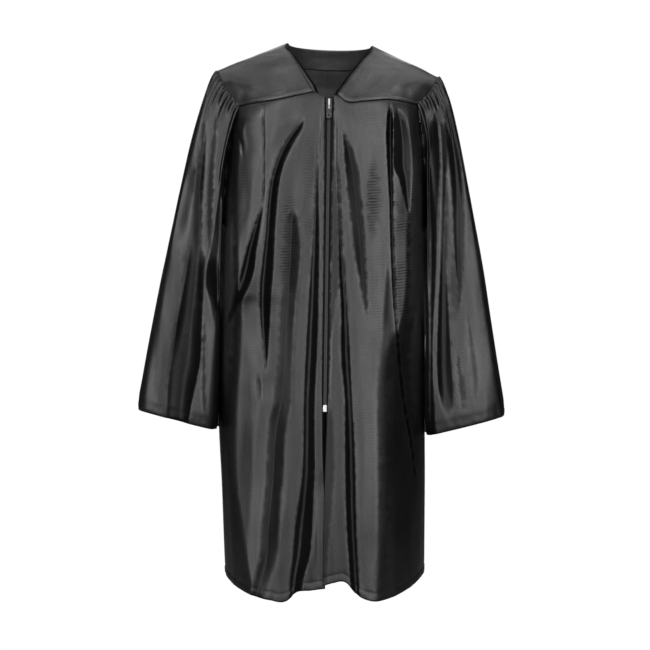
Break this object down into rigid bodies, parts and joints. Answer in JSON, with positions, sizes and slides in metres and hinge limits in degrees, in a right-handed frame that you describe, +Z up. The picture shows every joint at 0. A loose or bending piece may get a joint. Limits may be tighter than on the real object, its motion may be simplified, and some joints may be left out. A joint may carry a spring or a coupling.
{
  "type": "graduation gown",
  "caption": "Child's hollow graduation gown with V neck, smooth yokes, pleated fronts, gathered back, wide bell sleeves and a centre front zip.",
  "frame": {"origin": "midway between the two neck points of the shoulder seams, level with the left one, where the shoulders hold the gown up", "axes": "+Z up the gown's length, front faces -Y, +X towards the viewer's right from the front"},
  "size_m": [0.45, 0.2102, 0.6676],
  "materials": {
    "satin": "black polyester satin, soft sheen, fine horizontal rib",
    "zip_tape": "black woven tape, dull",
    "zip_coil": "black nylon coil",
    "zip_metal": "dark grey lacquered metal, worn on its edges",
    "zip_stop": "bright pressed metal"
  },
  "bodies": {
    "gown": {"front_left": "satin", "front_right": "satin", "back": "satin", "yoke_front_left": "satin", "yoke_front_right": "satin", "yoke_back": "satin", "sleeve_left": "satin", "sleeve_right": "satin", "neck_facing_left": "satin", "neck_facing_right": "satin", "neck_facing_back": "satin", "zip_tape_left": "zip_tape", "zip_tape_right": "zip_tape", "zip_coil": "zip_coil", "zip_slider": "zip_metal", "zip_bottom_stop": "zip_stop"},
    "pull_tab": {"zip_pull_tab": "zip_metal"}
  },
  "joints": [
    {"name": "pull_tab_swing", "type": "hinge", "parent": "gown", "child": "pull_tab", "pos_m": [0, -0.08188, -0.08707], "axis": [-1, 0, 0], "range_deg": [0, 140]}
  ]
}
